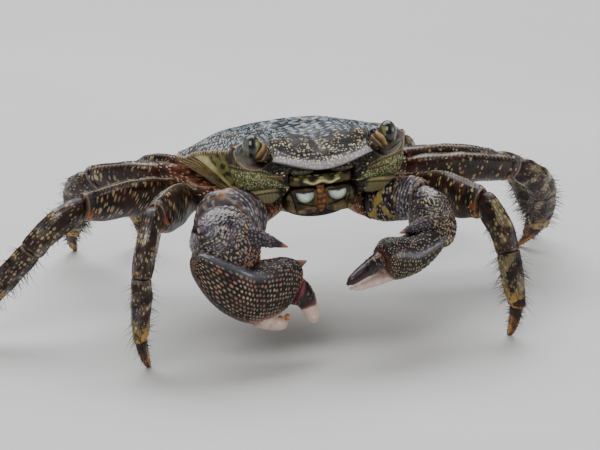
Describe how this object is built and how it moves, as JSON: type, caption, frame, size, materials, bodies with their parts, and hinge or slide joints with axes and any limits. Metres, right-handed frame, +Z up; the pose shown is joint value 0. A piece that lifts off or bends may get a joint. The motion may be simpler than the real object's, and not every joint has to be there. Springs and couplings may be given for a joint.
{
  "type": "shore crab",
  "caption": "Life-size still model of a dark grapsid shore crab standing on its walking legs, claws folded in front of its mouth",
  "frame": {"origin": "on the floor under the middle of the crab's outline", "axes": "+Z up, the crab faces -Y, its own left side is +X; the widest spread of the legs is along X"},
  "size_m": [0.173, 0.1122, 0.0547],
  "materials": {
    "carapace_shell": "wet gloss, slate black with pale striae",
    "belly_shell": "satin, pale",
    "mouth_shell": "satin, olive",
    "cornea": "glossy",
    "eyestalk_shell": "satin, ochre and white",
    "leg_shell": "wet gloss, brown black with cream bars",
    "leg_tip": "satin, brown to orange",
    "claw_shell": "wet gloss, brown black with cream tubercles",
    "finger_shell": "satin, purple brown to pinkish white"
  },
  "bodies": {
    "root": {"carapace": "carapace_shell", "thorax": "belly_shell", "abdomen": "belly_shell", "mouth_frame": "mouth_shell", "maxilliped_right": "mouth_shell", "maxilliped_left": "mouth_shell", "eye_right": "cornea", "eye_left": "cornea", "eyestalk_right": "eyestalk_shell", "eyestalk_left": "eyestalk_shell", "antenna_right": "mouth_shell", "antenna_left": "mouth_shell", "leg1_right_merus": "leg_shell", "leg1_right_carpus": "leg_shell", "leg1_right_propodus": "leg_shell", "leg1_right_dactyl": "leg_tip", "leg1_left_merus": "leg_shell", "leg1_left_carpus": "leg_shell", "leg1_left_propodus": "leg_shell", "leg1_left_dactyl": "leg_tip", "leg2_right_merus": "leg_shell", "leg2_right_carpus": "leg_shell", "leg2_right_propodus": "leg_shell", "leg2_right_dactyl": "leg_tip", "leg2_left_merus": "leg_shell", "leg2_left_carpus": "leg_shell", "leg2_left_propodus": "leg_shell", "leg2_left_dactyl": "leg_tip", "leg3_right_merus": "leg_shell", "leg3_right_carpus": "leg_shell", "leg3_right_propodus": "leg_shell", "leg3_right_dactyl": "leg_tip", "leg3_left_merus": "leg_shell", "leg3_left_carpus": "leg_shell", "leg3_left_propodus": "leg_shell", "leg3_left_dactyl": "leg_tip", "leg4_right_merus": "leg_shell", "leg4_right_carpus": "leg_shell", "leg4_right_propodus": "leg_shell", "leg4_right_dactyl": "leg_tip", "leg4_left_merus": "leg_shell", "leg4_left_carpus": "leg_shell", "leg4_left_propodus": "leg_shell", "leg4_left_dactyl": "leg_tip", "claw_right_merus": "claw_shell", "claw_right_carpus": "claw_shell", "claw_right_palm": "claw_shell", "claw_right_finger": "finger_shell", "claw_left_merus": "claw_shell", "claw_left_carpus": "claw_shell", "claw_left_palm": "claw_shell", "claw_left_finger": "finger_shell"}
  },
  "joints": []
}
